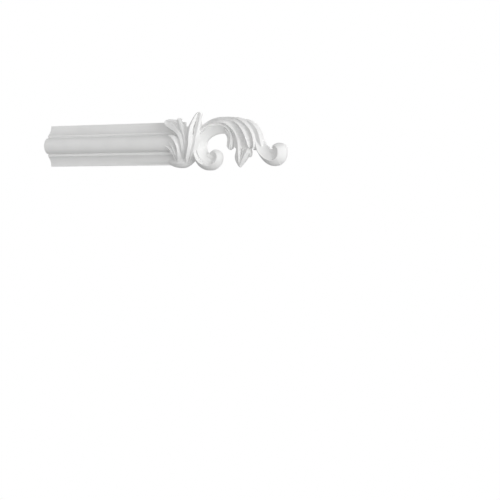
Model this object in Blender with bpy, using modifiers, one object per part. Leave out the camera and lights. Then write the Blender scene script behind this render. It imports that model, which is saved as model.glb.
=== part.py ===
# Moulding with an acanthus scroll end, cast in one piece, for a panel frame on a wall.
# The run of moulding ends in a cuff of leaf, an open C scroll with a small volute, a
# cascade of leaf lobes with a pointed leaf, and a stem that curls up at the far end.
#
# Frame: +X along the moulding, from the plain run to the ornament; +Z up; the flat back
# lies on the wall at y = 0 and faces +Y, so the carving looks towards -Y.
# The origin is on the back, on the moulding's centre line, where the cuff begins.

import bmesh
import bpy
import numpy as np
from math import atan2, cos, degrees, radians, sin
from mathutils import Matrix

# Driving dimensions, metres
MOULDING_WIDTH = 0.060
MOULDING_DEPTH = 0.024
RUN_LENGTH = 0.184
RUN_UNDER_CUFF = 0.034

# The carving is drawn in parts, sixty to the moulding's width, as ornament often is
PART = MOULDING_WIDTH / 60

# The moulding's section, in parts
EDGE_THICKNESS = 5.0
COVE_WIDTH = 14.3
COVE_TOP = 13.0
FILLET_WIDTH = 2.6
FILLET_TOP = 14.0
QUIRK_FLOOR = 12.8
TORUS_HALF_WIDTH = 11.8

# How the carving is made solid, in parts
BEHIND_WALL = 3.0
SAMPLE_STEP = 1.6
FLANK_STEPS = 7
GRAIN = 0.75
ORNAMENT_TRIANGLES = 8600

# A blade is a band of leaf or scroll along a crest line. Each station on the line holds
# x, z, the crest's height off the wall, then the width and edge height of the left flank
# and of the right flank, seen along the line. hollow is the bend of each flank: 1 is
# straight, 2 is scooped, 0.5 is full; where it changes along the line, then is its value at
# the far end. A round tip closes over the length named blunt. under sets the foot of each side
# in below its flank, more towards the far end, where a leaf overhangs.
CUFF = {
    "pad": dict(hollow=(.7, .7), line=[
        (32, -26, 10, 6, 8, 7, 8), (37, -19, 15.5, 9, 12, 9, 12), (40, -10, 19.5, 13, 14, 11, 14),
        (42, 3, 21, 14, 15, 12, 16), (41, 15, 19.5, 12, 14, 10, 14), (40, 23, 13, 9, 9, 8, 9)]),
    "foot": dict(hollow=(1, .5), line=[
        (8.5, -27.5, 5, 3, 5, 1.5, 3.5), (14, -27.5, 9, 5, 9, 3.6, 4), (20, -28, 11.5, 6, 12, 5, 4),
        (27, -28.5, 13, 7, 14, 5.6, 4), (34, -27.8, 13, 8, 15, 5.5, 4), (40.5, -24.7, 12.5, 8, 15, 4.8, 4),
        (45.5, -20.7, 11, 7, 13, 4.2, 4), (49.5, -17.5, 10, 3, 10, 4, 4)]),
    "low leaf": dict(hollow=(1.1, 1.2), line=[
        (23, -25, 13, 3, 8, 2, 9.5), (23.2, -17, 21, 3.5, 10, 2, 17.5), (20, -10.5, 24.5, 3.2, 14, 2.2, 21),
        (16, -6.5, 25, 2.4, 18, 2.2, 22), (11, -3.3, 24.5, .6, 20, .6, 21)]),
    "middle leaf": dict(hollow=(1, 1), line=[
        (25.8, -22, 17, 2.6, 13, 1.6, 14.5), (26.2, -15, 23.5, 2.8, 19, 2, 20.5), (24.6, -8, 26.5, 2.6, 22, 2.4, 23.5),
        (21.6, -3.2, 27, 2, 23, 2.4, 24.5), (17.6, 0, 25.5, .5, 21, .5, 23)]),
    "bright leaf": dict(hollow=(1, 1), line=[
        (23.5, -29, 10, 1.5, 7, 3.2, 8), (28, -23, 18, 2.8, 13.5, 4, 13), (31.2, -15, 25.5, 3, 20.5, 4.2, 19.5),
        (32, -6, 30, 3, 25, 4.4, 24.5), (30, 0, 31.3, 2.8, 26, 5, 26.5), (25.5, 5.5, 30.5, 2.4, 24, 5.6, 26.5),
        (18, 11, 28, .5, 21, 1, 25)]),
    "spoon bowl": dict(hollow=(1, 1), line=[
        (13, 27.5, 14.5, 3, 13, 3, 13), (20, 26.5, 16, 4.5, 14, 5, 14), (27, 23.5, 18.5, 5.5, 15, 6, 15),
        (33, 17, 21, 4, 17, 5, 17)]),
    "spoon leaf": dict(hollow=(1, 1), blunt=3, line=[
        (34.6, -21, 16, 2, 13.5, 3, 14.5), (37.6, -10, 26.5, 2.6, 23, 3.6, 24.6), (37.9, 0, 30.3, 3, 26.5, 3.4, 28.6),
        (34.4, 9.5, 30, 3.4, 25, 4.4, 27.6), (27.6, 16, 27.5, 3.6, 21, 5, 24.5), (19, 21, 24.5, 3.4, 16, 6.4, 19.5),
        (12.3, 25.5, 22, 2.5, 12, 6, 16), (10, 30, 20, 1.5, 10, 4, 15)]),
    "spoon rim": dict(hollow=(1.4, .7), line=[
        (34, 20, 22, 2, 19, 2, 18), (30.5, 26.5, 20.8, 2.3, 17.5, 2.3, 14), (25, 30.3, 20.5, 2.6, 16, 2.4, 8),
        (18, 31.6, 20.5, 2.6, 15.5, 2.4, 7), (12, 31.2, 20, 2, 15.5, 2.2, 7), (9.8, 29.5, 19, 1, 16, .8, 8)]),
    "top leaf": dict(hollow=(1, 1), under=(0, 6), line=[
        (40, -21, 16.5, 2, 14.5, 3, 14.5), (43.2, -8, 27, 2.8, 24.6, 2.6, 25.6), (43.8, 3, 30, 3.2, 27, 2.8, 29.2),
        (41.4, 12, 29.4, 5, 25, 3, 28.6), (37.2, 19.5, 27, 6.2, 21, 3, 25.8), (33.6, 26, 23.6, 5.6, 18, 2.6, 22),
        (30.2, 31, 20, 3.4, 15, 1.6, 18), (28.6, 35.3, 17, .6, 14, .5, 15)]),
    "small leaf": dict(hollow=(1, 1), blunt=2, line=[
        (48.2, 6, 28.6, 3, 26, 2, 28), (48, 14, 26, 4, 22, 2.5, 25), (47, 23.5, 18.5, 2.6, 14, 2.5, 16)]),
    "spike, near rim": dict(hollow=(1, 1.2), under=(0, 4), line=[
        (38, -27, 13, 1.6, 10, 1.6, 11), (42.5, -20.5, 21.5, 3, 16.5, 1.3, 17), (47, -13, 28, 4, 23, 1.3, 22.5),
        (50.4, -5, 32, 5, 26.5, 1.3, 25), (52, 4, 34, 5.6, 28, 1.3, 26), (52.4, 13, 33, 6.5, 27, 1.3, 25.4),
        (52.8, 21, 30, 6, 24, 1.3, 23), (53.8, 28, 26, 4.8, 21.5, 1.3, 20), (55, 34, 21.5, 4.5, 17.5, 1.4, 16.6),
        (56.8, 39, 18, 3.6, 14.2, 1.6, 14.6), (59.6, 41.6, 16, 1.2, 13, 1.5, 14)]),
    "spike, tip floor": dict(hollow=(1, 1), line=[
        (55.5, 24, 14.5, 3, 13.5, 1.2, 13.5), (56, 31, 12.5, 4, 11.5, 1, 11.5), (57, 36.5, 11, 3, 10, 1, 10)]),
    "spike, far rim": dict(hollow=(1.3, .8), under=(0, 8), line=[
        (41.6, -27.5, 11, 2, 9.6, 2, 7), (47, -22, 15.8, 4, 14.8, 2.2, 8), (51.8, -14.5, 21, 4.6, 20, 2.3, 13),
        (56.3, -5.5, 24.2, 5, 23, 2.3, 17), (58.9, 3.5, 25.4, 5.4, 24, 2.3, 18), (60.1, 12, 24.8, 5.6, 22.8, 2, 17),
        (60.8, 20, 22.6, 5.5, 20.4, 1.4, 16.5), (61.4, 28, 19.6, 5, 17.4, 1, 14.5), (61.6, 34.5, 17.8, 4, 15, 1.1, 12.5),
        (60.8, 39.6, 16.5, 3, 13.6, 1.2, 12), (58.8, 41.6, 16, 1.6, 13.5, .6, 12)]),
}
SCROLL = {
    "C channel": dict(hollow=(1.5, 1), line=[
        (103, 15.5, 10.5, 4, 5, 1, 9), (97, 21.3, 12, 9.3, 4.5, 2, 9), (88, 23.5, 13, 10.8, 4.5, 2, 10),
        (78.5, 22.3, 14.5, 11, 4.5, 2.5, 12), (69.5, 18, 16.5, 10.4, 4.5, 3, 13), (62, 11, 18, 9.6, 4.5, 3, 14),
        (57.6, 1, 18.5, 8.6, 4.5, 3, 14), (57, -9, 17.2, 9, 5, 3, 13), (59, -17.6, 15.2, 10.3, 6.5, 2.5, 12),
        (63, -24, 13.2, 11.6, 7.5, 2.5, 11), (69, -27.6, 11.8, 10, 7.5, 2.5, 10), (75, -28.2, 10.4, 7, 7.3, 2.5, 9.5),
        (80, -27, 8.6, 5, 7, 2, 8)]),
    "scroll bead": dict(hollow=(.8, .6), line=[
        (56.8, 3, 19.5, 1.5, 16, 2, 12), (54.4, -7, 20.5, 1.8, 16.5, 2.6, 11), (54, -14.6, 20.5, 1.9, 16, 3.6, 6),
        (55.8, -21, 20, 2.1, 15, 4.8, 4), (59.6, -26.6, 18.5, 2.2, 13.6, 5.8, 4), (64.8, -30.2, 17, 2.3, 12.2, 6.6, 4),
        (71, -31.4, 15.5, 2.6, 10.6, 6.4, 4), (76.5, -30.8, 13.2, 2.4, 9, 5, 4)]),
    "volute": dict(hollow=(1, .6), line=[
        (68.5, -31.2, 15.3, 2.4, 10.8, 6.6, 4), (75.2, -31, 14.5, 4, 8.6, 6.4, 4), (80.8, -28.2, 13.6, 5.6, 7.8, 5.8, 4),
        (84.2, -23, 13.2, 6.6, 7.5, 5.4, 4), (84.4, -17, 13, 6.4, 7.5, 5, 4), (81.4, -13.3, 13, 4.8, 7.5, 4, 4),
        (77, -12.6, 12.2, 3.4, 7.5, 3, 4), (73.4, -14.3, 10, 1.8, 7.5, 1.5, 5)]),
    "eye of the volute": dict(hollow=(1, 1), line=[
        (69, -18, 9, 4.5, 7.5, 4.5, 7.5), (75, -20.5, 8.3, 5, 7, 5, 7), (80.5, -20.5, 7.8, 5, 6.5, 5, 6.5)]),
    "arch": dict(hollow=(1, 1), line=[
        (58, 10, 18, 8, 10, 1.5, 14), (65, 18.7, 17, 7.5, 6, 1.5, 13), (73, 24, 16, 7.5, 5.5, 1.4, 12.5),
        (82, 26.8, 15, 7.8, 5.5, 1.3, 11), (91, 27, 14.5, 8.5, 5.5, 1.3, 9.5), (99, 24.3, 14, 8.5, 7.5, 1.5, 8.5),
        (105, 20, 12.3, 6.5, 8.5, 1.6, 7.5), (109.5, 15, 10, 4, 8.5, 1.5, 7.5), (112.5, 10, 8.5, 2, 8, 1, 7)]),
}
LEAF = {
    "ground": dict(hollow=(1, 1), line=[
        (96, 27, 9, 6, 8, 5, 8), (105, 24, 9, 8, 8, 7, 8), (114, 17, 9, 9, 8, 9, 8), (121, 8, 8.6, 11, 7.8, 9, 7.5),
        (125, -1, 8, 11, 7, 10, 6.8), (126.5, -7, 7.4, 8, 6.4, 10, 5.8)]),
    "inner bead": dict(hollow=(.9, .9), line=[
        (83, 23.2, 13.5, 1.2, 11, 1.2, 11), (91, 23.2, 13, 1.3, 10.4, 1.2, 10), (97.3, 20.2, 12.3, 1.2, 10, 1.3, 9),
        (102, 14.8, 11.8, 1.1, 9.6, 1.4, 8), (104.9, 8, 11.3, 1.1, 9.4, 1.4, 7.5), (105.6, 1, 11, 1.1, 9.2, 1.4, 7.5),
        (104.6, -5, 10, 1.1, 8.2, 1.4, 7), (103.6, -8.5, 8, 1.1, 5.5, 1.4, 5)]),
    "inner lobe": dict(hollow=(.9, .9), blunt=4, line=[
        (95.4, 17.5, 9.8, 2, 8, 4.6, 6.5), (101, 11.5, 10.4, 1.6, 9, 5.6, 6), (103.4, 5, 10.6, 1.4, 9, 6.6, 5.6),
        (103.2, -2, 10.6, 1.4, 8.6, 7, 5.2), (102, -6, 10, 1.6, 7.5, 6.8, 4.4), (100.8, -10, 8, 2, 4, 5.6, 4)]),
    "second lobe": dict(hollow=(1, .9), blunt=1.5, line=[
        (98, 25, 14.5, 2, 13, 1.6, 9.5), (104, 20.7, 14.5, 1.8, 12.2, 1.8, 9), (109.8, 15, 14.5, 1.6, 12, 2.8, 8.8),
        (113.4, 8.5, 14, 1.6, 11.6, 5, 8.2), (115.2, 2, 13.4, 1.6, 11.2, 6.8, 7.6), (115.8, -4, 12.6, 1.6, 10.8, 8, 6.4),
        (115.6, -8.6, 11.4, 1.8, 10, 7.6, 5)]),
    "pointed leaf": dict(hollow=(1, .9), line=[
        (115.6, 4, 12.6, 2, 10, 3, 9), (115.8, -4, 12.2, 2, 9.8, 4, 8.4), (115.8, -12, 11.8, 2, 9.6, 5.4, 6),
        (115.8, -19, 11.2, 2, 9.4, 7.4, 5), (115.6, -25, 9.8, 2, 8, 6.2, 5), (115.4, -30, 7.6, 1.4, 6.4, 3.2, 5),
        (115.4, -34, 5, .4, 4.5, .4, 4.5)]),
    "leaf rim": dict(hollow=(1.1, 1.2), line=[
        (128.4, -5, 11.6, 3, 8, 8, 8.6), (127.6, -11, 12, 4.5, 7.5, 8, 8.4), (125.3, -16.5, 11.4, 3.6, 7, 6.4, 8.4),
        (121.7, -22.5, 10.2, 3.2, 6.2, 3.8, 7.6), (118, -28.5, 8.4, 2.2, 5.4, 1.8, 6.4), (115.6, -33.7, 5.5, .4, 4.5, .4, 4.5)]),
    "leaf barb": dict(hollow=(1, 1), line=[
        (130, -8, 9.4, 2, 7.5, 3, 7.5), (130.8, -13.5, 9.6, 1.8, 6.5, 2.4, 6), (130.6, -17, 8.2, 1.4, 5, 1.6, 4.5),
        (129.8, -20, 5.5, .5, 4, .5, 4)]),
    "third lobe": dict(hollow=(1.1, 1.2), blunt=2, line=[
        (107, 29.3, 13.2, 4, 11.5, 1.5, 12), (113.5, 26, 14.5, 3.5, 11.5, 3, 10.5), (119, 20.5, 15.4, 6, 10.5, 6, 8),
        (123.3, 14.5, 16, 6.5, 9, 9, 7.4), (126.6, 8, 16, 6.2, 8.5, 10.6, 7), (129, 1, 15.8, 6, 8.5, 10.8, 6.8),
        (130.8, -5, 14.4, 4.4, 9, 8.4, 6.6), (131.8, -8.6, 12.8, 3.2, 8.5, 4, 6.6)]),
    "fourth lobe": dict(hollow=(1.3, 1.4), blunt=3, line=[
        (107, 33, 12.5, 1, 11, 1, 11.5), (115.5, 31, 14, 3, 11.5, 2.5, 10.5), (123.2, 26.8, 15, 4.5, 11, 4, 9.5),
        (129.8, 20.8, 15.5, 5.5, 10.5, 4.3, 9), (134.8, 14, 15.5, 5.5, 9.8, 4.2, 9), (137.4, 7, 15.5, 5.3, 9.6, 4.2, 8.8),
        (138.4, 0, 15, 4.6, 10, 4, 8.8), (138, -6, 14, 3, 10.5, 3.2, 8.8), (137, -11.5, 12, 2.2, 8, 3, 6.5)]),
    "fifth lobe": dict(hollow=(.8, 1.1), line=[
        (122, 30.8, 11.5, 1, 9, 1, 10), (130, 28.6, 12.2, 1.8, 8.5, 4, 11), (136.7, 24.2, 12.8, 2, 9, 5.6, 11.2),
        (141.7, 18.4, 13.1, 2, 9.8, 6, 11.2), (145.2, 11.6, 13.1, 2, 10, 6, 11), (146.8, 4.6, 12.6, 2, 9.6, 5.6, 10.8),
        (147.6, -2, 10.8, 1.8, 8.8, 4.6, 9.4), (148.2, -7, 8.2, 1, 7, 3.4, 7.4)]),
}
STEM = {
    "arch and stem": dict(hollow=(.8, 1.2), then=(2.1, .6), line=[
        (84, 29, 13, 6.5, 5, 4, 12), (95, 30.3, 13, 5.3, 5, 5, 10.5), (106, 30, 13, 5, 5, 6, 10),
        (116, 28.2, 13, 4.6, 5, 7, 9), (125, 24.8, 12.8, 4.8, 5, 8, 9), (132.3, 19.2, 12.5, 5, 5, 8, 9),
        (137.8, 11.5, 12.3, 6, 5, 7, 9), (140.3, 4, 12.2, 8.2, 5, 6, 9), (141.3, -3, 12.3, 11.3, 5, 5, 8),
        (142.3, -9, 12.6, 13.7, 5.5, 3, 6), (144.3, -13.8, 12.8, 14.5, 5.5, 2.4, 5), (147.6, -18, 13, 14, 5.5, 3.2, 4),
        (152.5, -22, 13, 13.5, 5.5, 4.6, 4), (158.5, -25, 13, 13.5, 5.5, 5.9, 4), (165, -25.8, 12.8, 11.5, 5.5, 7, 4),
        (171, -23.5, 12.5, 7, 6, 8.5, 4)]),
    "end curl": dict(hollow=(.9, .6), line=[
        (161, -25.7, 12.8, 2, 10, 6.3, 4), (167, -25.3, 13, 4.2, 8.5, 7.3, 4), (172.3, -21.5, 13.5, 6.4, 7, 9, 4),
        (174, -15, 13.8, 7.4, 6.4, 9, 4), (172.8, -9.3, 13.8, 7.2, 6.4, 7.4, 4), (168.8, -6.3, 13, 4.8, 6.4, 3.6, 4),
        (165, -8, 11, 2, 6.4, 1.5, 5)]),
    "eye of the curl": dict(hollow=(1, 1), line=[
        (157, -16.5, 6, 3, 5.5, 3, 5.5), (162, -15, 6.2, 4.5, 5.8, 4.5, 5.8), (168, -14, 6.6, 5, 6.3, 5, 6.3)]),
}

COLLECTION = "moulding_ornament"
NODE = "acanthus_moulding"


def clear_scene():
    for item in list(bpy.data.objects):
        bpy.data.objects.remove(item)
    for name in (COLLECTION, "cutters"):
        bpy.context.scene.collection.children.link(bpy.data.collections.new(name))


def white_cast():
    paint = bpy.data.materials.new("white primed cast")
    paint.use_nodes = True
    shader = paint.node_tree.nodes["Principled BSDF"]
    shader.inputs["Base Color"].default_value = (0.84, 0.84, 0.83, 1)
    shader.inputs["Roughness"].default_value = 0.55
    return paint


def add_object(name, mesh, collection):
    item = bpy.data.objects.new(name, mesh)
    bpy.data.collections[collection].objects.link(item)
    return item


def bake(item):
    """Replace an object's mesh by the one its modifiers give."""
    ready = item.evaluated_get(bpy.context.evaluated_depsgraph_get())
    mesh = bpy.data.meshes.new_from_object(ready)
    item.modifiers.clear()
    item.data = mesh
    return item


def arc(centre, radii, first, last, steps):
    angles = np.radians(np.linspace(first, last, steps))
    return [(centre[0] + radii[0] * cos(a), centre[1] + radii[1] * sin(a)) for a in angles]


def half_section():
    """The upper half of the moulding's section, from the outer edge to the crown, in parts."""
    half = MOULDING_WIDTH / 2 / PART
    crown = MOULDING_DEPTH / PART
    cove_foot = half - COVE_WIDTH
    fillet_foot = cove_foot - FILLET_WIDTH
    points = [(half, 0), (half, EDGE_THICKNESS)]
    # the cove is an arc that starts level at the outer edge and ends at its top
    sweep = 2 * atan2(COVE_TOP - EDGE_THICKNESS - .4, COVE_WIDTH)
    bend = COVE_WIDTH / sin(sweep)
    points += arc((half, EDGE_THICKNESS + .4 + bend), (bend, bend), 270, 270 - degrees(sweep), 7)
    points += [(cove_foot, FILLET_TOP), (fillet_foot, FILLET_TOP), (fillet_foot, QUIRK_FLOOR)]
    points += arc((0, QUIRK_FLOOR), (TORUS_HALF_WIDTH, crown - QUIRK_FLOOR), 0, 90, 8)
    return points


def build_run(paint):
    upper = half_section()
    lower = [(-z, y) for z, y in reversed(upper[:-1])]
    outline = [(z * PART, y * PART) for z, y in upper + lower]
    length = RUN_LENGTH + RUN_UNDER_CUFF
    curve = bpy.data.curves.new("run section", "CURVE")
    curve.dimensions = "2D"
    curve.fill_mode = "BOTH"
    curve.extrude = length / 2
    spline = curve.splines.new("POLY")
    spline.points.add(len(outline) - 1)
    for point, (z, y) in zip(spline.points, outline):
        point.co = (z, -y, 0, 1)
    spline.use_cyclic_u = True
    section = add_object("run section", curve, COLLECTION)
    # the section's own x runs up the wall, its y points into the wall, its depth runs along the moulding
    turn = Matrix(((0, 0, 1), (0, 1, 0), (1, 0, 0))).to_4x4()
    middle = (RUN_UNDER_CUFF - RUN_LENGTH) / 2
    mesh = bpy.data.meshes.new_from_object(section.evaluated_get(bpy.context.evaluated_depsgraph_get()))
    mesh.transform(Matrix.Translation((middle, 0, 0)) @ turn)
    bpy.data.objects.remove(section)
    shape = bmesh.new()
    shape.from_mesh(mesh)
    bmesh.ops.remove_doubles(shape, verts=shape.verts, dist=1e-6)
    bmesh.ops.recalc_face_normals(shape, faces=shape.faces)
    shape.to_mesh(mesh)
    shape.free()
    mesh.materials.append(paint)
    return add_object(NODE, mesh, COLLECTION)


def smooth_line(stations):
    """Stations read off a smooth curve through the given ones, about SAMPLE_STEP apart."""
    rows = np.array(stations, float)
    chord = np.hypot(*np.diff(rows[:, :2], axis=0).T)
    at = np.concatenate(([0], np.cumsum(chord)))
    slope = np.gradient(rows, at, axis=0)
    result = []
    for i, length in enumerate(chord):
        for t in np.arange(0, 1, SAMPLE_STEP / length):
            a, b = (1 + 2 * t) * (1 - t) ** 2, t * (1 - t) ** 2
            c, d = t * t * (3 - 2 * t), t * t * (t - 1)
            row = a * rows[i] + b * length * slope[i] + c * rows[i + 1] + d * length * slope[i + 1]
            result.append(row)
    result.append(rows[-1])
    return np.array(result)


def blade_sections(line, hollow, then, blunt, under):
    rows = smooth_line(line)
    step = np.gradient(rows[:, :2], axis=0)
    step /= np.linalg.norm(step, axis=1)[:, None]
    left = np.stack((-step[:, 1], step[:, 0]), axis=1)
    along = np.concatenate(([0], np.cumsum(np.hypot(*np.diff(rows[:, :2], axis=0).T))))
    sections = []
    for row, across, at in zip(rows, left, along):
        x, z, crest, wide_a, edge_a, wide_b, edge_b = row
        far = along[-1] - at
        narrow = max(.12, (1 - (1 - far / blunt) ** 2) ** .5) if far < blunt else 1
        bends = [near + (end - near) * at / along[-1] for near, end in zip(hollow, then or hollow)]
        points = []
        flanks = ((1, wide_a, edge_a, bends[0], under[0]), (-1, wide_b, edge_b, bends[1], under[1]))
        for side, wide, edge, bend, inset in flanks:
            wide = max(wide, .3) * narrow
            spread = np.linspace(0, 1, FLANK_STEPS + 1)
            flank = []
            for s in spread:
                height = edge + (crest - edge) * (1 - s) ** bend
                flank.append((x + across[0] * wide * s * side, z + across[1] * wide * s * side, height))
            foot = (wide - min(inset * (at / along[-1]) ** 2, wide_a + wide_b)) * side
            flank.append((x + across[0] * foot, z + across[1] * foot, -BEHIND_WALL))
            points = flank[::-1] + points if side == 1 else points + flank[1:]
        sections.append(points)
    return sections


def add_blade(shape, line, hollow, then=None, blunt=0, under=(0, 0)):
    """Loft a blade down to behind the wall, so that every blade is a closed solid."""
    rings = []
    for section in blade_sections(line, hollow, then, blunt, under):
        rings.append([shape.verts.new((x * PART, -y * PART, z * PART)) for x, z, y in section])
    for near, far in zip(rings, rings[1:]):
        for i in range(len(near)):
            j = (i + 1) % len(near)
            shape.faces.new((near[i], near[j], far[j], far[i]))
    shape.faces.new(rings[0][::-1])
    shape.faces.new(rings[-1])


def build_carving():
    shape = bmesh.new()
    for group in (CUFF, SCROLL, LEAF, STEM):
        for blade in group.values():
            add_blade(shape, **blade)
    bmesh.ops.recalc_face_normals(shape, faces=shape.faces)
    mesh = bpy.data.meshes.new("carving")
    shape.to_mesh(mesh)
    shape.free()
    carving = add_object("carving", mesh, "cutters")
    carving.hide_render = True
    carving.display_type = "WIRE"
    fuse = carving.modifiers.new("fuse", "REMESH")
    fuse.mode = "VOXEL"
    fuse.voxel_size = GRAIN * PART
    ease = carving.modifiers.new("ease", "SMOOTH")
    ease.factor = 0.5
    ease.iterations = 2
    bake(carving)
    thin = carving.modifiers.new("thin", "DECIMATE")
    thin.ratio = ORNAMENT_TRIANGLES / sum(len(face.vertices) - 2 for face in carving.data.polygons)
    bake(carving)
    drop_crumbs(carving.data)
    return carving


def drop_crumbs(mesh):
    """Keep only the largest connected body of a mesh."""
    shape = bmesh.new()
    shape.from_mesh(mesh)
    bodies = []
    waiting = set(shape.verts)
    while waiting:
        body = {waiting.pop()}
        edge = list(body)
        while edge:
            for link in edge.pop().link_edges:
                for vert in link.verts:
                    if vert not in body:
                        body.add(vert)
                        edge.append(vert)
        waiting -= body
        bodies.append(body)
    bodies.sort(key=len)
    bmesh.ops.delete(shape, geom=[vert for body in bodies[:-1] for vert in body], context="VERTS")
    shape.to_mesh(mesh)
    shape.free()


def flat_back():
    """A block behind the wall plane, which cuts the back flat."""
    shape = bmesh.new()
    bmesh.ops.create_cube(shape, size=1)
    bmesh.ops.scale(shape, vec=(0.6, 0.03, 0.2), verts=shape.verts)
    bmesh.ops.translate(shape, vec=(0, 0.015, 0), verts=shape.verts)
    mesh = bpy.data.meshes.new("wall")
    shape.to_mesh(mesh)
    shape.free()
    block = add_object("wall", mesh, "cutters")
    block.hide_render = True
    block.display_type = "WIRE"
    return block


def combine(item, operation, other):
    step = item.modifiers.new(operation.lower(), "BOOLEAN")
    step.operation = operation
    step.solver = "EXACT"
    step.use_self = True
    step.object = other
    bake(item)


def main():
    clear_scene()
    moulding = build_run(white_cast())
    combine(moulding, "UNION", build_carving())
    combine(moulding, "DIFFERENCE", flat_back())
    moulding.data.shade_smooth()
    moulding.data.set_sharp_from_angle(angle=radians(32))


main()
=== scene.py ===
from math import radians

import bpy
import numpy as np
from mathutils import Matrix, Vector


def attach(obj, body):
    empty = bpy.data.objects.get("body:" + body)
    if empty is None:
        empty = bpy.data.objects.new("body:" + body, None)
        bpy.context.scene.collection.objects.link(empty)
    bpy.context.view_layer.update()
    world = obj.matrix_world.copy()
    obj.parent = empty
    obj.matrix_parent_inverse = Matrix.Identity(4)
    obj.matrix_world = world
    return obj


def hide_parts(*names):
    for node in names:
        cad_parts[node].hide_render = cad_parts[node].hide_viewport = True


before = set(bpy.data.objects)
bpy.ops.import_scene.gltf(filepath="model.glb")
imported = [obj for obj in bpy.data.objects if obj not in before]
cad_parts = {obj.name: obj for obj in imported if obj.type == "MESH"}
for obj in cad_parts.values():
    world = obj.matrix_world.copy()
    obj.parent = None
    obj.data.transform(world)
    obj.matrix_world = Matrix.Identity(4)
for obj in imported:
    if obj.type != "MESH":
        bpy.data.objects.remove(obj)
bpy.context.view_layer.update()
bpy.ops.object.select_all(action="DESELECT")
print("frame loaded")

mm = 0.001

# Camera: to the right of the scroll, level and turned left, with the picture shifted down
view = {
    "place": (0.507, -1.0389, -0.0663),
    "turnLeft": 20,
    "lens": 58.4, "sensor": 36,
    "shiftDown": 0.118,
    "nearest": 0.05,
}
level = radians(90)
bpy.ops.object.camera_add(location=view["place"], rotation=(level, 0, radians(view["turnLeft"])))
camera = bpy.context.object
camera.data.lens = view["lens"]
camera.data.sensor_width = view["sensor"]
camera.data.shift_y = -view["shiftDown"]
camera.data.clip_start = view["nearest"]
bpy.context.scene.camera = camera

# The plain run, in mm: the section is half of the moulding's width, mirrored about its centre line
run = {
    "left": -184, "right": 34, "halfWidth": 30, "edge": 5,
    "coveWidth": 14.3, "coveTop": 13, "filletWidth": 2.6, "filletTop": 14, "quirk": 12.8,
    "torusHalf": 11.8, "crown": 24, "lip": 0.4, "rounding": 0.4,
    "coveSteps": 25, "cornerSteps": 5, "crownSteps": 28,
}

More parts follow.
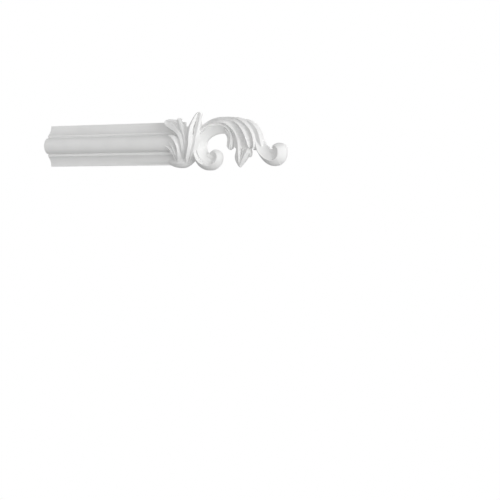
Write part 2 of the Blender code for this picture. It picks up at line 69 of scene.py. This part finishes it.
# The carving, in mm. A blade is a band of leaf or scroll along a crest line. Each station holds
# x, z, the crest's height off the wall, then width and edge height of the left and right flanks.
# hollow bends the flanks: 1 straight, 2 scooped, 0.5 full; then is its value at the far end.
# blunt is the length over which the far end is rounded off.
# under sets the foot of a side in below the flank, more towards the far end, where a leaf overhangs.
leafCuff = {
    "pad": dict(hollow=(.7, .7), line=[
        (32, -26, 10, 6, 8, 7, 8), (37, -19, 15.5, 9, 12, 9, 12), (40, -10, 19.5, 13, 14, 11, 14),
        (42, 3, 21, 14, 15, 12, 16), (41, 15, 19.5, 12, 14, 10, 14), (40, 23, 13, 9, 9, 8, 9)]),
    "foot": dict(hollow=(1, .5), line=[
        (8.5, -27.5, 5, 3, 5, 1.5, 3.5), (14, -27.5, 9, 5, 9, 3.6, 4), (20, -28, 11.5, 6, 12, 5, 4),
        (27, -28.5, 13, 7, 14, 5.6, 4), (34, -27.8, 13, 8, 15, 5.5, 4),
        (40.5, -24.7, 12.5, 8, 15, 4.8, 4), (45.5, -20.7, 11, 7, 13, 4.2, 4),
        (49.5, -17.5, 10, 3, 10, 4, 4)]),
    "low leaf": dict(hollow=(1.1, 1.2), under=(3, 0), line=[
        (23, -25, 13, 3, 8, 2, 9.5), (23.2, -17, 21, 2.8, 10, 2, 17.5),
        (20, -10.5, 24.5, 2.4, 14, 2.2, 21), (16, -6.5, 25, 2, 18, 2.2, 22),
        (11, -3.3, 24.5, .8, 20, .8, 21)]),
    "middle leaf": dict(hollow=(1, 1), line=[
        (25.8, -22, 17, 2.6, 13, 1.6, 14.5), (26.2, -15, 23.5, 2.8, 19, 2, 20.5),
        (24.6, -8, 26.5, 2.6, 22, 2.4, 23.5), (21.6, -3.2, 27, 2, 23, 2.4, 24.5),
        (17.6, 0, 25.5, .5, 21, .5, 23)]),
    "bright leaf": dict(hollow=(1, 1), line=[
        (23.5, -29, 10, 1.5, 7, 2.6, 7), (28, -23, 18, 2.8, 13.5, 4.6, 12.5),
        (31.2, -15, 25.5, 3, 20.5, 5.2, 19), (32, -6, 30, 3, 25, 5, 24),
        (30, 0, 31.3, 2.8, 26, 4.6, 25.4), (25.5, 5.5, 30.5, 2, 24.5, 5.4, 26),
        (18, 11, 28, .6, 22, 1, 25)]),
    "spoon bowl": dict(hollow=(1, 1), line=[
        (13, 27.5, 16, 3, 14, 3, 15), (20, 26.5, 18, 4.5, 15, 5, 17), (27, 23.5, 20.3, 5.5, 16, 6, 18.5),
        (33, 17, 22, 4, 17, 5, 19)]),
    "spoon leaf": dict(hollow=(1, 1), blunt=3, under=(3, 0), line=[
        (34.6, -21, 16, 2, 13.5, 3, 14.5), (37.6, -10, 26.5, 2.6, 23, 3.6, 25),
        (37.9, 0, 30.3, 3, 26.5, 3.2, 29.2), (34.4, 9.5, 30, 3, 25, 4.2, 28.6),
        (27.4, 15.6, 27.5, 2.2, 22.5, 5, 25.4), (18.4, 20.4, 24.6, 1.5, 20, 6.4, 20.4),
        (11.2, 25.3, 22, 1.2, 17.5, 6, 17.2), (8.8, 30, 20, 1, 16, 4, 16)]),
    "spoon rim": dict(hollow=(1, .7), line=[
        (34, 20, 22.4, 3, 20.5, 2, 18), (30, 26.4, 21, 4, 19, 2.3, 14), (24.6, 30.3, 20.5, 5, 18, 2.4, 8),
        (17.4, 31.8, 20.5, 5, 17.4, 2.2, 8), (11, 31.6, 20, 4, 17, 2, 8), (8.6, 29.8, 19, 2, 17, .8, 8)]),
    "top leaf": dict(hollow=(1, 1), under=(0, 4.5), line=[
        (40, -21, 16.5, 2, 14.5, 3, 14.5), (43.2, -8, 27, 2.8, 24.6, 2.2, 26.2),
        (43.6, 3, 30, 3.2, 27, 2, 29.5), (41.2, 12, 29.4, 5, 25, 1.8, 29),
        (36.8, 19.5, 27, 6.2, 21, 2.4, 26.4), (33.2, 26, 23.6, 5.6, 18, 2.6, 22.6),
        (30, 31, 20, 3.6, 15.5, 2, 18.6), (28.8, 35, 17.4, 1.6, 14.5, 1.4, 15)]),
    "small leaf": dict(hollow=(1, 1), blunt=2, line=[
        (48.4, 6, 28.6, 4, 24.5, 2, 28), (48.4, 14, 26.4, 5.5, 21, 2.5, 25),
        (47.4, 23.5, 18.5, 4, 13.5, 2.5, 16)]),
    "spike, near rim": dict(hollow=(1, 1.2), under=(0, 4), line=[
        (38, -27, 13, 1.6, 10, 1.6, 10.4), (42.5, -20.5, 21.5, 3, 16.5, 1.3, 16.4),
        (47, -13, 28, 4, 23, 1.3, 21.8), (50.4, -5, 32, 5, 26.5, 1.3, 24.4),
        (52, 4, 34, 5.6, 28, 1.3, 25.6), (52.4, 13, 33, 6.5, 27, 1.3, 25),
        (52.8, 21, 30, 5, 25, 1.3, 22.6), (53.8, 28, 26, 3, 23, 1.5, 20),
        (55, 34, 21.5, 2.6, 19, 1.6, 17), (56.6, 38.8, 18.4, 2, 16, 1.6, 15),
        (58.8, 41.8, 16.4, 1.2, 14, 1.5, 14)]),
    "spike, tip floor": dict(hollow=(1, 1), line=[
        (55.5, 24, 14.5, 3, 13.5, 1.2, 13.5), (56, 31, 12.5, 4, 11.5, 1, 11.5),
        (57, 36.5, 11, 3, 10, 1, 10)]),
    "spike, far rim": dict(hollow=(1.3, .8), under=(0, 8), line=[
        (41.6, -27.5, 11, 2, 9.6, 2, 7), (47, -22, 15.8, 4, 14.8, 2.2, 8),
        (51.8, -14.5, 21, 4.6, 20, 2.3, 13), (56.3, -5.5, 24.2, 5, 23, 2.3, 17),
        (58.9, 3.5, 25.4, 5.4, 24, 2.3, 18), (60.1, 12, 24.8, 5.6, 22.8, 2, 18),
        (60.6, 20, 22.6, 5.5, 20.4, 1.8, 19.5), (61, 28, 19.6, 5, 17.2, 1.8, 18.2),
        (61.2, 34.5, 17.8, 4.4, 14.6, 1.9, 16.8), (61, 39.4, 16.5, 3, 13.8, 1.9, 15.8),
        (59.8, 42, 16, 1.6, 14, 1.4, 15)]),
}
cScroll = {
    "C channel": dict(hollow=(1.5, 1), line=[
        (103, 15.5, 10.5, 4, 5, 1, 9), (97, 21.3, 12, 9.3, 4.5, 2, 9), (88, 23.5, 13, 10.8, 4.5, 2, 10),
        (78.5, 22.3, 14.5, 11, 4.5, 2.5, 12), (69.5, 18, 16.5, 10.4, 4.5, 3, 13),
        (62, 11, 18, 9.6, 4.5, 3, 14), (57.6, 1, 18.5, 8.6, 4.5, 3, 14), (57, -9, 17.2, 9, 5, 3, 13),
        (59, -17.6, 15.2, 10.3, 6.5, 2.5, 12), (63, -24, 13.2, 11.6, 7.5, 2.5, 11),
        (69, -27.6, 11.8, 10, 7.5, 2.5, 10), (75, -28.2, 10.4, 7, 7.3, 2.5, 9.5),
        (80, -27, 8.6, 5, 7, 2, 8)]),
    "scroll bead": dict(hollow=(.8, .6), line=[
        (56.8, 3, 19.5, 1.5, 16, 2, 12), (54.4, -7, 20.5, 1.8, 16.5, 2.6, 11),
        (54, -14.6, 20.5, 1.9, 16, 5.2, 6), (55.8, -21, 20, 2.1, 15, 6.4, 4),
        (59.6, -26.6, 18.5, 2.2, 13.6, 6.6, 4), (64.8, -30.2, 17, 2.3, 12.2, 6.6, 4),
        (71, -31.4, 15.5, 2.6, 10.6, 6.4, 4), (76.5, -30.8, 13.2, 2.4, 9, 5, 4)]),
    "volute": dict(hollow=(1, .6), line=[
        (68.5, -31.2, 15.3, 2.4, 10.8, 6.6, 4), (75.2, -31, 14.5, 4, 8.6, 6.4, 4),
        (80.8, -28.2, 13.6, 5.8, 7.6, 5.8, 4), (84.4, -23, 13.2, 7, 7.3, 5.4, 4),
        (84.6, -17, 13, 6.8, 7.4, 5, 4), (81.4, -13.1, 12.6, 5.6, 7.8, 4, 4),
        (77, -12.4, 11.4, 4.6, 8.2, 3, 4), (73.2, -13.9, 9.6, 3, 8.4, 1.5, 5)]),
    "eye of the volute": dict(hollow=(1, 1), line=[
        (69, -18, 9, 4.5, 7.5, 4.5, 7.5), (75, -20.5, 8.3, 5, 7, 5, 7),
        (80.5, -20.5, 7.8, 5, 6.5, 5, 6.5)]),
    "arch": dict(hollow=(1, 1), line=[
        (58, 10, 18, 8, 10, 1.5, 14), (65, 18.7, 17, 7.5, 6, 1.5, 13), (73, 24, 16, 7.5, 5.5, 1.4, 12.5),
        (82, 26.8, 15, 7.8, 5.5, 1.3, 11), (91, 27, 14.5, 8.5, 5.5, 1.3, 9.5),
        (99, 24.3, 14, 8.5, 7.5, 1.5, 8.5), (105, 20, 12.3, 6.5, 8.5, 1.6, 7.5),
        (109.5, 15, 10, 4, 8.5, 1.5, 7.5), (112.5, 10, 8.5, 2, 8, 1, 7)]),
}
leafCascade = {
    "ground": dict(hollow=(1, 1), line=[
        (96, 27, 9, 6, 8, 5, 8), (105, 24, 9, 8, 8, 7, 8), (114, 17, 9, 9, 8, 9, 8),
        (121, 8, 8.6, 11, 7.8, 9, 7.5), (125, -1, 8, 11, 7, 10, 6.8), (126.5, -7, 7.4, 8, 6.4, 10, 5.8)]),
    "inner bead": dict(hollow=(.9, .9), line=[
        (83, 23.2, 13.5, 1.2, 11, 1.2, 11), (91, 23.2, 13, 1.3, 10.4, 1.2, 10),
        (97.3, 20.2, 12.3, 1.2, 10, 1.3, 9), (102, 14.8, 11.8, 1.1, 9.6, 1.4, 8),
        (104.9, 8, 11.3, 1.1, 9.4, 1.4, 7.5), (105.6, 1, 11, 1.1, 9.2, 1.4, 7.5),
        (104.6, -5, 10, 1.1, 8.2, 1.4, 7), (103.6, -8.5, 8, 1.1, 5.5, 1.4, 5)]),
    "inner lobe": dict(hollow=(.9, 1.4), blunt=4, line=[
        (95.4, 17.5, 9.8, 2, 8, 4.6, 5.4), (101, 11.5, 10.6, 1.6, 9, 5.6, 4.4),
        (103.8, 5, 11, 1.4, 9, 7, 3.8), (103.6, -2, 11, 1.4, 8.6, 7.4, 3.6),
        (102.4, -6, 10.2, 1.6, 7.5, 7, 3.2), (101, -10, 8, 2, 4, 5.6, 3)]),
    "second lobe": dict(hollow=(1, .9), blunt=1.5, line=[
        (98, 25, 14.5, 2, 13, 1.6, 9.5), (104, 20.7, 14.5, 1.8, 12.2, 1.8, 9),
        (109.8, 15, 14.5, 1.6, 12, 2.8, 8.8), (113.4, 8.5, 14, 1.6, 11.6, 5, 8.2),
        (115.2, 2, 13.4, 1.6, 11.2, 6.8, 7.6), (115.8, -4, 12.6, 1.6, 10.8, 8, 6.4),
        (115.6, -8.6, 11.4, 1.8, 10, 7.6, 5)]),
    "pointed leaf": dict(hollow=(1, .9), line=[
        (115.6, 4, 12.6, 2, 10, 3, 9), (115.8, -4, 12.2, 2, 9.8, 4, 8.4),
        (115.8, -12, 11.8, 2, 9.6, 5.4, 6), (115.8, -19, 11.2, 2, 9.4, 7.4, 5),
        (115.6, -25, 9.8, 2, 8, 6.2, 5), (115.4, -30, 7.6, 1.4, 6.4, 3.2, 5),
        (115.4, -34, 5, .4, 4.5, .4, 4.5)]),
    "leaf rim": dict(hollow=(1.1, 1.6), line=[
        (128.4, -8.5, 8, 3, 6.6, 6.6, 6.2), (128, -12, 11.4, 4, 7.2, 7.6, 6.2),
        (125.6, -16.5, 12, 3.4, 7, 6.8, 6.4), (121.9, -22.5, 11, 3.2, 6.2, 4.4, 6.4),
        (118.2, -28.5, 8.8, 2.2, 5.4, 2.2, 6), (115.6, -33.7, 5.5, .4, 4.5, .4, 4.5)]),
    "leaf barb": dict(hollow=(1, 1), line=[
        (130.6, -11.5, 7.6, 2, 6, 2.4, 6.4), (131, -14.5, 8.8, 1.8, 6.2, 2.4, 6.4),
        (130.7, -17.4, 7.8, 1.4, 5, 1.6, 4.5), (129.8, -20.4, 5.5, .5, 4, .5, 4)]),
    "third lobe": dict(hollow=(1.1, 1.7), blunt=2, line=[
        (107, 29.3, 13.2, 4, 11.5, 1.5, 12), (113.5, 26, 14.5, 3.5, 11.5, 3, 10.5),
        (119, 20.5, 15.6, 6, 10.5, 6, 8), (123.4, 14.5, 16.4, 6.5, 9, 9, 7),
        (126.8, 8, 16.6, 6.2, 8.5, 10.6, 6.4), (129.2, 1, 16.2, 6, 8.5, 10.8, 6),
        (130.8, -5, 14.6, 4.4, 9, 8.4, 6), (131.6, -8.2, 12.8, 3.2, 8.5, 4, 6.4)]),
    "fourth lobe": dict(hollow=(1.3, 1.4), blunt=3, line=[
        (107, 33, 12.5, 1, 11, 1, 11.5), (115.5, 31, 14, 3, 11.5, 2.5, 10.5),
        (123.2, 26.8, 15, 4.5, 11, 4, 9.5), (129.8, 20.8, 15.5, 5.5, 10.5, 4.3, 9),
        (134.8, 14, 15.5, 5.5, 9.8, 4.2, 9), (137.4, 7, 15.5, 5.3, 9.6, 4.2, 8.8),
        (138.4, 0, 15, 4.6, 10, 4, 8.8), (138, -6, 14, 3, 10.5, 3.2, 8.4),
        (137, -10.8, 12, 2.2, 8, 3, 6)]),
    "fifth lobe": dict(hollow=(.8, 1), line=[
        (122, 30.8, 11.5, 1, 9, 1, 10), (130, 28.6, 12.2, 1.8, 8.5, 4, 11.2),
        (136.7, 24.2, 12.8, 2, 9, 5.4, 11.8), (141.7, 18.4, 13.1, 2, 9.8, 5.8, 12),
        (145.2, 11.6, 13, 2, 10, 5.8, 11.8), (146.8, 4.6, 12.4, 2, 9.6, 5.2, 11.4),
        (147.6, -2, 10.8, 1.8, 8.8, 4.2, 10), (148.2, -7, 8.2, 1, 7, 3, 7.8)]),
}
curlingStem = {
    "arch and stem": dict(hollow=(.8, 1.2), then=(2.1, .6), line=[
        (84, 29, 13, 6.5, 5, 4, 12), (95, 30.3, 13, 5.3, 5, 5, 10.5), (106, 30, 13, 5, 5, 6, 10),
        (116, 28.2, 13, 4.6, 5, 7, 9), (125, 24.8, 12.8, 4.8, 5, 8, 9), (132.3, 19.2, 12.5, 5, 5, 8, 9),
        (137.8, 11.5, 12.3, 6, 5, 7, 9), (140.3, 4, 12.2, 8.2, 5, 6, 9), (141.3, -3, 12.3, 11.3, 5, 5, 8),
        (142.3, -9, 12.6, 13.7, 5.5, 3, 6), (144.3, -13.8, 12.8, 14.5, 5.5, 2.4, 5),
        (147.6, -18, 13, 14, 5.5, 3.2, 4), (152.5, -22, 13, 13.5, 5.5, 4.6, 4),
        (158.5, -25, 13, 13.5, 5.5, 5.9, 4), (165, -25.8, 12.8, 11.5, 5.5, 7, 4),
        (171, -23.5, 12.5, 7, 6, 8.5, 4)]),
    "end curl": dict(hollow=(.9, .6), line=[
        (160, -25.9, 12.8, 2, 10, 6.3, 4), (166, -25.3, 13, 4.2, 8.5, 7.4, 4),
        (171, -21.5, 13.5, 6.4, 7, 9.4, 4), (172.8, -15, 13.8, 7.4, 6.4, 10, 4),
        (171.8, -9.6, 13.8, 7.2, 6.4, 10.2, 4), (169, -6.8, 13.2, 5.6, 6.4, 6, 4),
        (166, -6.2, 12, 3.6, 6.4, 3.2, 4), (163, -7.8, 10.4, 2, 6.4, 1.5, 5)]),
    "eye of the curl": dict(hollow=(1, 1), line=[
        (156, -16, 6, 3, 5.5, 3, 5.5), (161, -14.6, 6.2, 4.5, 5.8, 4.5, 5.8),
        (167, -13.6, 6.6, 5, 6.3, 5, 6.3)]),
}

# How the bands become one casting. Lengths are in mm, angles in degrees
casting = {
    "behindWall": 3, "footBehind": 2, "stationStep": 0.8, "flankSteps": 10,
    "leastWidth": 0.3, "tipShare": 0.12, "softAngle": 42,
    "grain": 0.45, "quickGrain": 0.8, "easing": 0.5, "easingRounds": 3, "mostTriangles": 186000,
}


def deselect():
    bpy.ops.object.select_all(action="DESELECT")


def makeActive(piece):
    deselect()
    piece.select_set(True)
    bpy.context.view_layer.objects.active = piece


def applyAll(piece):
    makeActive(piece)
    for step in list(piece.modifiers):
        bpy.ops.object.modifier_apply(modifier=step.name)


def arc(centre, radii, first, last, steps):
    turn = np.radians(np.linspace(first, last, steps))
    return [(centre[0] + radii[0] * np.cos(t), centre[1] + radii[1] * np.sin(t)) for t in turn]


def runSection():
    half, cove, lip, soft = run["halfWidth"], run["coveWidth"], run["lip"], run["rounding"]
    foot, fillet, corner = half - cove, run["filletWidth"], run["filletTop"] - soft
    rise = run["coveTop"] - run["edge"] - lip
    sweep = 2 * np.arctan2(rise, cove)
    bend = cove / np.sin(sweep)
    scoop = 270 - np.degrees(sweep)
    rows = [(half, run["edge"])]
    rows += arc((half, run["edge"] + lip + bend), (bend, bend), 270, scoop, run["coveSteps"])
    rows += arc((foot - soft, corner), (soft, soft), 0, 90, run["cornerSteps"])
    rows += arc((foot - fillet + soft, corner), (soft, soft), 90, 180, run["cornerSteps"])
    rows.append((foot - fillet, run["quirk"]))
    torus = (run["torusHalf"], run["crown"] - run["quirk"])
    rows += arc((0, run["quirk"]), torus, 0, 90, run["crownSteps"])
    return rows + [(-z, y) for z, y in reversed(rows[:-1])]


def layStrip(name, rows):
    # a grid takes the rows one by one, each spot at its x, z and height off the wall
    along, across = len(rows), len(rows[0])
    bpy.ops.mesh.primitive_grid_add(x_subdivisions=along - 1, y_subdivisions=across - 1, size=1)
    strip = bpy.context.object
    strip.name = name
    spots = sorted(strip.data.vertices, key=lambda v: (round(v.co.x, 5), round(v.co.y, 5)))
    for i, row in enumerate(rows):
        for j, (x, z, height) in enumerate(row):
            spots[i * across + j].co = (x * mm, -height * mm, z * mm)
    return strip


def closeBehind(strip, depth):
    # the strip's twin is pressed flat behind the wall, which makes a closed solid
    makeActive(strip)
    bpy.ops.object.mode_set(mode="EDIT")
    bpy.ops.mesh.select_all(action="SELECT")
    bpy.ops.mesh.extrude_region_move()
    bpy.ops.transform.resize(value=(1, 0, 1), center_override=(0, depth * mm, 0))
    bpy.ops.mesh.select_all(action="SELECT")
    bpy.ops.mesh.normals_make_consistent(inside=False)
    bpy.ops.object.mode_set(mode="OBJECT")


def buildRun():
    section = runSection()
    middle = (run["left"] + run["right"]) / 2
    rows = [[(x, z, y) for z, y in section] for x in (run["left"], middle, run["right"])]
    strip = layStrip("mouldingRun", rows)
    closeBehind(strip, 0)
    return strip


def smoothStations(line):
    # a smooth curve through the stations, cut into short even steps
    rows = np.array(line, float)
    chord = np.hypot(*np.diff(rows[:, :2], axis=0).T)
    slope = np.gradient(rows, np.concatenate(([0], np.cumsum(chord))), axis=0)
    result = []
    for i, length in enumerate(chord):
        for t in np.arange(0, 1, casting["stationStep"] / length):
            a, b = (1 + 2 * t) * (1 - t) ** 2, t * (1 - t) ** 2
            c, d = t * t * (3 - 2 * t), t * t * (t - 1)
            result.append(a * rows[i] + b * length * slope[i] + c * rows[i + 1] + d * length * slope[i + 1])
    return np.array(result + [rows[-1]])


def buildBlade(name, line, hollow, then=None, blunt=0, under=(0, 0)):
    stations = smoothStations(line)
    step = np.gradient(stations[:, :2], axis=0)
    step /= np.linalg.norm(step, axis=1)[:, None]
    travelled = np.concatenate(([0], np.cumsum(np.hypot(*np.diff(stations[:, :2], axis=0).T))))
    spread = np.linspace(0, 1, casting["flankSteps"] + 1)
    rows = []
    for (x, z, crest, wideA, edgeA, wideB, edgeB), (dx, dz), at in zip(stations, step, travelled):
        left = travelled[-1] - at
        narrow = max(casting["tipShare"], (1 - (1 - left / blunt) ** 2) ** .5) if left < blunt else 1
        bends = [near + (end - near) * at / travelled[-1] for near, end in zip(hollow, then or hollow)]
        row = []
        flanks = ((1, wideA, edgeA, bends[0], under[0]), (-1, wideB, edgeB, bends[1], under[1]))
        for side, wide, edge, bend, inset in flanks:
            wide = max(wide, casting["leastWidth"]) * narrow
            flank = []
            for s in spread:
                out = wide * s * side
                flank.append((x - dz * out, z + dx * out, edge + (crest - edge) * (1 - s) ** bend))
            foot = (wide - min(inset * (at / travelled[-1]) ** 2, wideA + wideB)) * side
            flank.append((x - dz * foot, z + dx * foot, -casting["footBehind"]))
            row = flank[::-1] if side == 1 else row + flank[1:]
        rows.append(row)
    blade = layStrip(name, rows)
    closeBehind(blade, casting["behindWall"])
    return blade


def joinPieces(name, pieces):
    deselect()
    for piece in pieces:
        piece.select_set(True)
    bpy.context.view_layer.objects.active = pieces[0]
    bpy.ops.object.join()
    pieces[0].name = name
    return pieces[0]


def dropCrumbs(piece):
    makeActive(piece)
    bpy.ops.object.mode_set(mode="EDIT")
    bpy.ops.mesh.select_all(action="SELECT")
    bpy.ops.mesh.separate(type="LOOSE")
    bpy.ops.object.mode_set(mode="OBJECT")
    bodies = sorted(bpy.context.selected_objects, key=lambda body: len(body.data.vertices))
    for crumb in bodies[:-1]:
        bpy.data.objects.remove(crumb)
    return bodies[-1]


def buildCarving():
    blades = []
    for group in (leafCuff, cScroll, leafCascade, curlingStem):
        for name, blade in group.items():
            blades.append(buildBlade(name, **blade))
    carving = joinPieces("carving", blades)
    fuse = carving.modifiers.new("fuse", "REMESH")
    fuse.mode = "VOXEL"
    fuse.voxel_size = casting["grain"] * mm
    ease = carving.modifiers.new("ease", "SMOOTH")
    ease.factor = casting["easing"]
    ease.iterations = casting["easingRounds"]
    applyAll(carving)
    carving = dropCrumbs(carving)
    makeActive(carving)
    bpy.ops.object.mode_set(mode="EDIT")
    bpy.ops.mesh.select_all(action="SELECT")
    bpy.ops.mesh.bisect(plane_co=(0, 0, 0), plane_no=(0, 1, 0), use_fill=True, clear_outer=True)
    bpy.ops.object.mode_set(mode="OBJECT")
    count = sum(len(face.vertices) - 2 for face in carving.data.polygons)
    print("carving triangles", count)
    if count > casting["mostTriangles"]:
        thin = carving.modifiers.new("thin", "DECIMATE")
        thin.ratio = casting["mostTriangles"] / count
        applyAll(carving)
    return carving


moulding = buildRun()
print("run built")
carving = buildCarving()
print("carving built")

# The run and the carving become one solid
weld = moulding.modifiers.new("weld", "BOOLEAN")
weld.operation = "UNION"
weld.solver = "MANIFOLD"
weld.object = carving
applyAll(moulding)
bpy.data.objects.remove(carving)
moulding.name = "scrollMoulding"
makeActive(moulding)
bpy.ops.object.shade_smooth_by_angle(angle=radians(casting["softAngle"]))
print("casting joined,", sum(len(face.vertices) - 2 for face in moulding.data.polygons), "triangles")


# Matt primer, sprayed: tones as colour and place on the ramp, pattern scales per metre, lengths in metres
primer = {
    "thin": ((.80, .80, .795, 1), .3), "thick": ((.84, .84, .835, 1), .7), "toneScale": 35,
    "roughness": (.48, .62), "sheenScale": 120,
    "mistScale": 1400, "mistStrength": .25, "mistDepth": .00006,
}


def primedWhite():
    paint = bpy.data.materials.new("primedWhite")
    paint.use_nodes = True
    nodes, links = paint.node_tree.nodes, paint.node_tree.links
    shader = nodes["Principled BSDF"]
    place = nodes.new("ShaderNodeTexCoord")

    def noise(scale, detail, rough=.5):
        pattern = nodes.new("ShaderNodeTexNoise")
        pattern.inputs["Scale"].default_value = scale
        pattern.inputs["Detail"].default_value = detail
        pattern.inputs["Roughness"].default_value = rough
        links.new(place.outputs["Object"], pattern.inputs["Vector"])
        return pattern.outputs["Fac"]

    tone = nodes.new("ShaderNodeValToRGB")   # the primer lies a touch thicker in places
    for stop, (colour, position) in zip(tone.color_ramp.elements, (primer["thin"], primer["thick"])):
        stop.position = position
        stop.color = colour
    links.new(noise(primer["toneScale"], 3), tone.inputs["Fac"])
    links.new(tone.outputs["Color"], shader.inputs["Base Color"])
    sheen = nodes.new("ShaderNodeMapRange")
    sheen.inputs["To Min"].default_value, sheen.inputs["To Max"].default_value = primer["roughness"]
    links.new(noise(primer["sheenScale"], 2), sheen.inputs["Value"])
    links.new(sheen.outputs["Result"], shader.inputs["Roughness"])
    grain = nodes.new("ShaderNodeBump")      # fine mist of sprayed primer
    grain.inputs["Strength"].default_value = primer["mistStrength"]
    grain.inputs["Distance"].default_value = primer["mistDepth"]
    links.new(noise(primer["mistScale"], 2, .6), grain.inputs["Height"])
    links.new(grain.outputs["Normal"], shader.inputs["Normal"])
    return paint


moulding.data.materials.clear()
moulding.data.materials.append(primedWhite())
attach(moulding, "root")
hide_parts("acanthus_moulding")
print("finish applied")

# Studio: pale floor far below, white surround, soft light from the right and a little from the front.
# fullSun is the lamp energy that lights a facing white surface fully.
studio = {
    "floorDepth": 0.45, "floorSize": 12, "floorGrey": 0.5, "floorRoughness": 0.9,
    "surround": 0.46, "paper": 1, "white": (1, 1, 1, 1), "fullSun": 3.1416,
    # towards the light, then strength, softness in degrees and whether it throws shadows
    "key": ((.88, -.45, -.1), .4, 35, True),
    "sideFill": ((1, -.1, 0), .4, 60, False),
    "frontFill": ((0, -1, 0), .2, 60, False),
    "backFill": ((-.3, 1, .5), .3, 60, True),
}
for name in ("key", "sideFill", "frontFill", "backFill"):
    towards, strength, softness, shadows = studio[name]
    bpy.ops.object.light_add(type="SUN", rotation=Vector(towards).to_track_quat("Z", "Y").to_euler())
    lamp = bpy.context.object
    lamp.name = name
    lamp.data.energy = strength * studio["fullSun"]
    lamp.data.angle = radians(softness)
    lamp.data.use_shadow = shadows
bpy.ops.mesh.primitive_plane_add(size=studio["floorSize"], location=(0, 0, -studio["floorDepth"]))
floor = bpy.context.object
floor.name = "floor"
floor.visible_shadow = False
floorPaint = bpy.data.materials.new("paleFloor")
floorPaint.use_nodes = True
nodes, links = floorPaint.node_tree.nodes, floorPaint.node_tree.links
nodes["Principled BSDF"].inputs["Base Color"].default_value = (*[studio["floorGrey"]] * 3, 1)
nodes["Principled BSDF"].inputs["Roughness"].default_value = studio["floorRoughness"]
seen = nodes.new("ShaderNodeLightPath")
white = nodes.new("ShaderNodeEmission")
mix = nodes.new("ShaderNodeMixShader")
links.new(seen.outputs["Is Camera Ray"], mix.inputs[0])
links.new(nodes["Principled BSDF"].outputs[0], mix.inputs[1])
links.new(white.outputs[0], mix.inputs[2])
links.new(mix.outputs[0], nodes["Material Output"].inputs["Surface"])
floor.data.materials.append(floorPaint)

world = bpy.data.worlds.new("studio")
bpy.context.scene.world = world
world.use_nodes = True
nodes, links = world.node_tree.nodes, world.node_tree.links
fill = nodes["Background"]
fill.inputs["Strength"].default_value = studio["surround"]
fill.inputs["Color"].default_value = studio["white"]
paper = nodes.new("ShaderNodeBackground")
paper.inputs["Strength"].default_value = studio["paper"]
paper.inputs["Color"].default_value = studio["white"]
seen = nodes.new("ShaderNodeLightPath")
mix = nodes.new("ShaderNodeMixShader")
links.new(seen.outputs["Is Camera Ray"], mix.inputs[0])
links.new(fill.outputs[0], mix.inputs[1])
links.new(paper.outputs[0], mix.inputs[2])
links.new(mix.outputs[0], nodes["World Output"].inputs["Surface"])
bpy.context.scene.view_settings.view_transform = "Standard"
print("studio lit")
